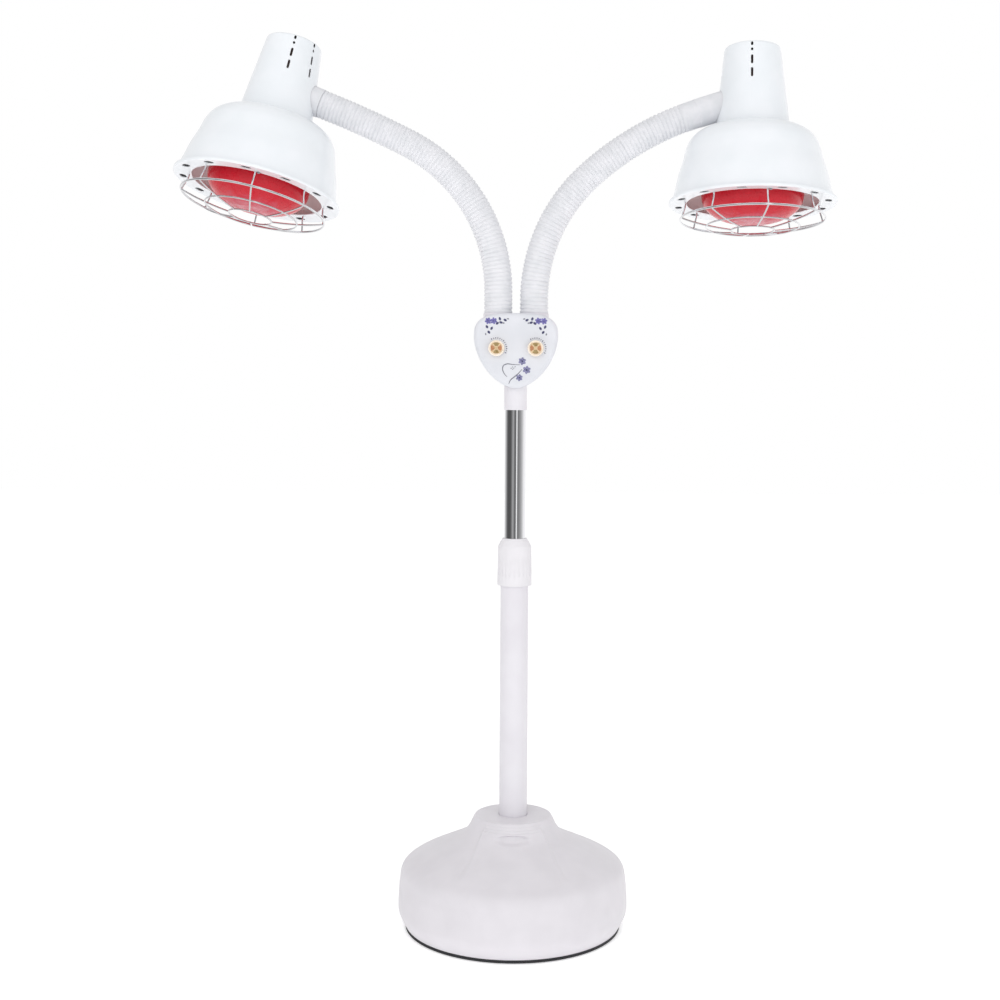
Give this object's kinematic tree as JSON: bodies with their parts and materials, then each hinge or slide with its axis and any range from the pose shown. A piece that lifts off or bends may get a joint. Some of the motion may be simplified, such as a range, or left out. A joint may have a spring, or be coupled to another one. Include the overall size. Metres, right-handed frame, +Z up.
{
  "type": "infrared heat therapy lamp",
  "caption": "Floor lamp for heat therapy: bell-shaped heads with caged red bulbs on ribbed goosenecks, a control box with dimmer knobs, a telescopic column and a round weighted base.",
  "frame": {"origin": "centre of the base's underside, on the floor under the column", "axes": "+Z up along the column, +X to the right of someone who faces the knobs, -Y towards that person"},
  "size_m": [1.1902, 0.4205, 1.6053],
  "materials": {
    "white_moulded": "satin",
    "white_paint": "gloss",
    "head_paint": "gloss",
    "ribbed_sleeve": "satin",
    "chrome": "polished",
    "steel": "satin",
    "iron": "matte",
    "rubber": "matte",
    "nylon": "satin",
    "black_plastic": "satin",
    "board_green": "matte",
    "ivory": "satin",
    "gold": "gloss",
    "brass": "satin",
    "ceramic": "satin",
    "red_glass": "gloss"
  },
  "bodies": {
    "stand": {"floor_pad": "rubber", "base_plate": "steel", "base_ballast": "iron", "base_bolt_1": "steel", "base_bolt_2": "steel", "base_cover": "white_moulded", "column_socket": "steel", "outer_tube": "white_paint", "collet": "nylon", "cable_inlet": "black_plastic"},
    "lock_collar": {"lock_collar": "white_moulded"},
    "mast": {"inner_tube": "chrome", "glide_bush": "nylon", "mast_sleeve": "white_paint", "box_front": "white_moulded", "box_back": "white_moulded", "box_screw_1": "steel", "box_screw_2": "steel", "dimmer_left": "black_plastic", "dimmer_right": "black_plastic", "control_board": "board_green", "terminal_block": "black_plastic", "neck_nut_left": "steel", "neck_nut_right": "steel"},
    "knob_left": {"knob_left": "ivory", "knob_cap_left": "gold", "dimmer_shaft_left": "brass"},
    "neck_left_1": {"neck_left_1": "ribbed_sleeve"},
    "neck_left_2": {"neck_left_2": "ribbed_sleeve"},
    "neck_left_3": {"neck_left_3": "ribbed_sleeve"},
    "neck_left_4": {"neck_left_4": "ribbed_sleeve"},
    "neck_left_5": {"neck_left_5": "ribbed_sleeve"},
    "head_left": {"neck_ferrule_left": "white_paint", "cap_left": "head_paint", "shade_left": "head_paint", "flange_ring_left": "head_paint", "lampholder_left": "ceramic", "bulb_base_left": "brass", "bulb_glass_left": "red_glass", "guard_left": "chrome", "guard_screw_left_1": "steel", "guard_screw_left_2": "steel"},
    "knob_right": {"knob_right": "ivory", "knob_cap_right": "gold", "dimmer_shaft_right": "brass"},
    "neck_right_1": {"neck_right_1": "ribbed_sleeve"},
    "neck_right_2": {"neck_right_2": "ribbed_sleeve"},
    "neck_right_3": {"neck_right_3": "ribbed_sleeve"},
    "neck_right_4": {"neck_right_4": "ribbed_sleeve"},
    "neck_right_5": {"neck_right_5": "ribbed_sleeve"},
    "head_right": {"neck_ferrule_right": "white_paint", "cap_right": "head_paint", "shade_right": "head_paint", "flange_ring_right": "head_paint", "lampholder_right": "ceramic", "bulb_base_right": "brass", "bulb_glass_right": "red_glass", "guard_right": "chrome", "guard_screw_right_1": "steel", "guard_screw_right_2": "steel"}
  },
  "joints": [
    {"name": "mast_slide", "type": "slide", "parent": "stand", "child": "mast", "axis": [0, 0, 1], "range_m": [-0.22, 0.18]},
    {"name": "collar_turn", "type": "hinge", "parent": "stand", "child": "lock_collar", "pos_m": [0, 0, 0.612], "axis": [0, 0, 1], "range_deg": [0, 120]},
    {"name": "knob_left_turn", "type": "hinge", "parent": "mast", "child": "knob_left", "pos_m": [-0.035, -0.038, 1.0395], "axis": [0, -1, 0], "range_deg": [0, 270]},
    {"name": "neck_left_lean", "type": "hinge", "parent": "mast", "child": "neck_left_1", "pos_m": [-0.0325, 0, 1.11262], "axis": [0, -1, 0], "range_deg": [0, 18]},
    {"name": "neck_left_sway", "type": "hinge", "parent": "neck_left_1", "child": "neck_left_2", "pos_m": [-0.04221, 0, 1.2187], "axis": [0.9676, 0, 0.2523], "range_deg": [-18, 18]},
    {"name": "neck_left_curl", "type": "hinge", "parent": "neck_left_2", "child": "neck_left_3", "pos_m": [-0.08685, 0, 1.31522], "axis": [0, -1, 0], "range_deg": [-18, 18]},
    {"name": "neck_left_sway_upper", "type": "hinge", "parent": "neck_left_3", "child": "neck_left_4", "pos_m": [-0.16237, 0, 1.39009], "axis": [0.5671, 0, 0.8236], "range_deg": [-18, 18]},
    {"name": "neck_left_curl_upper", "type": "hinge", "parent": "neck_left_4", "child": "neck_left_5", "pos_m": [-0.25693, 0, 1.43969], "axis": [0, -1, 0], "range_deg": [-18, 18]},
    {"name": "head_left_swivel", "type": "hinge", "parent": "neck_left_5", "child": "head_left", "pos_m": [-0.42472, 0, 1.50838], "axis": [-0.9317, 0, 0.3633], "range_deg": [-60, 60]},
    {"name": "knob_right_turn", "type": "hinge", "parent": "mast", "child": "knob_right", "pos_m": [0.035, -0.038, 1.0395], "axis": [0, -1, 0], "range_deg": [0, 270]},
    {"name": "neck_right_lean", "type": "hinge", "parent": "mast", "child": "neck_right_1", "pos_m": [0.0325, 0, 1.11262], "axis": [0, 1, 0], "range_deg": [0, 18]},
    {"name": "neck_right_sway", "type": "hinge", "parent": "neck_right_1", "child": "neck_right_2", "pos_m": [0.04339, 0, 1.21079], "axis": [0.9643, 0, -0.2649], "range_deg": [-18, 18]},
    {"name": "neck_right_curl", "type": "hinge", "parent": "neck_right_2", "child": "neck_right_3", "pos_m": [0.0846, 0, 1.30049], "axis": [0, 1, 0], "range_deg": [-18, 18]},
    {"name": "neck_right_sway_upper", "type": "hinge", "parent": "neck_right_3", "child": "neck_right_4", "pos_m": [0.15191, 0, 1.37279], "axis": [0.6389, 0, -0.7693], "range_deg": [-18, 18]},
    {"name": "neck_right_curl_upper", "type": "hinge", "parent": "neck_right_4", "child": "neck_right_5", "pos_m": [0.23374, 0, 1.4285], "axis": [0, 1, 0], "range_deg": [-18, 18]},
    {"name": "head_right_swivel", "type": "hinge", "parent": "neck_right_5", "child": "head_right", "pos_m": [0.42587, 0, 1.50059], "axis": [0.9511, 0, 0.309], "range_deg": [-60, 60]}
  ],
  "couplings": [
    {"joint": "neck_left_sway_upper", "follows": "neck_left_sway", "ratio": 1},
    {"joint": "neck_left_curl_upper", "follows": "neck_left_curl", "ratio": 1},
    {"joint": "neck_right_sway_upper", "follows": "neck_right_sway", "ratio": 1},
    {"joint": "neck_right_curl_upper", "follows": "neck_right_curl", "ratio": 1}
  ]
}
